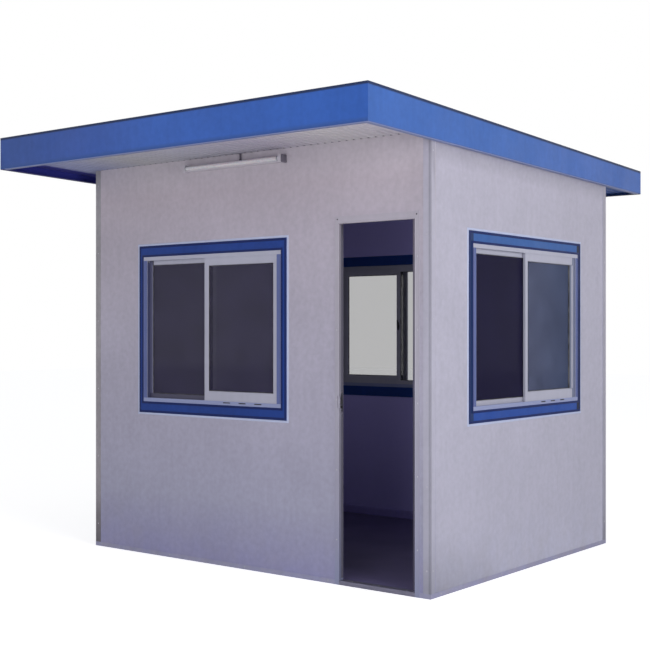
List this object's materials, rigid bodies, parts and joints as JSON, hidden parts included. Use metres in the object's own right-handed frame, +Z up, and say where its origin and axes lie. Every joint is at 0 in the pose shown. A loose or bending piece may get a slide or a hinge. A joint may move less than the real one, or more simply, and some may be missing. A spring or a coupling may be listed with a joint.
{
  "type": "security guard booth",
  "caption": "One-room guard booth of white sandwich panels under a flat overhanging roof with a blue fascia, with sliding windows in blue surrounds and a narrow hinged door.",
  "frame": {"origin": "on the ground at the centre of the rectangle of the four outer wall faces", "axes": "+Z up; the front, with the door, faces -Y; +X is to the right of someone who looks at the front"},
  "size_m": [2.855, 3.23, 2.622],
  "materials": {
    "bare_aluminium": "satin",
    "blue_fascia": "satin",
    "blue_trim": "satin",
    "bottom_channel": "satin",
    "door_frame_white": "satin",
    "door_infill": "matt",
    "floor_sheet": "matt",
    "lamp_glass": "frosted",
    "lamp_white": "gloss",
    "roof_foam": "matt",
    "roof_steel": "satin",
    "satin_handle": "satin",
    "soffit_sheet": "matt",
    "wall_edging": "satin",
    "wall_panel": "matt",
    "white_aluminium": "satin",
    "window_glass": "gloss",
    "zinc_steel": "satin"
  },
  "bodies": {
    "booth": {"back_wall": "wall_panel", "back_window_frame": "white_aluminium", "back_window_glass": "window_glass", "back_window_sash_left": "white_aluminium", "back_window_sash_right": "white_aluminium", "back_window_trim": "blue_trim", "bottom_track": "bottom_channel", "corner_trim_back_left": "wall_edging", "corner_trim_back_right": "wall_edging", "corner_trim_front_left": "wall_edging", "corner_trim_front_right": "wall_edging", "door_head": "door_frame_white", "door_hinges": "zinc_steel", "door_jamb_left": "door_frame_white", "door_jamb_right": "door_frame_white", "door_threshold": "bare_aluminium", "fascia_back": "blue_fascia", "fascia_front": "blue_fascia", "fascia_left": "blue_fascia", "fascia_right": "blue_fascia", "floor_panel": "floor_sheet", "front_wall": "wall_panel", "front_wall_corner": "wall_panel", "front_wall_over_door": "wall_panel", "front_window_frame": "white_aluminium", "front_window_glass": "window_glass", "front_window_sash_left": "white_aluminium", "front_window_sash_right": "white_aluminium", "front_window_trim": "blue_trim", "lamp_batten": "lamp_white", "lamp_tube": "lamp_glass", "left_wall": "wall_panel", "right_wall": "wall_panel", "right_window_frame": "white_aluminium", "right_window_glass": "window_glass", "right_window_sash_left": "white_aluminium", "right_window_sash_right": "white_aluminium", "right_window_trim": "blue_trim", "roof_core": "roof_foam", "roof_sheet": "roof_steel", "soffit_liner": "soffit_sheet"},
    "door": {"door_handle": "satin_handle", "door_hinge_leaves": "zinc_steel", "door_leaf": "door_infill", "door_leaf_frame": "door_frame_white"}
  },
  "joints": [
    {"name": "door_hinge", "type": "hinge", "parent": "booth", "child": "door", "pos_m": [1.2175, -1.0075, 0], "axis": [0, 0, 1], "range_deg": [0, 85]}
  ]
}
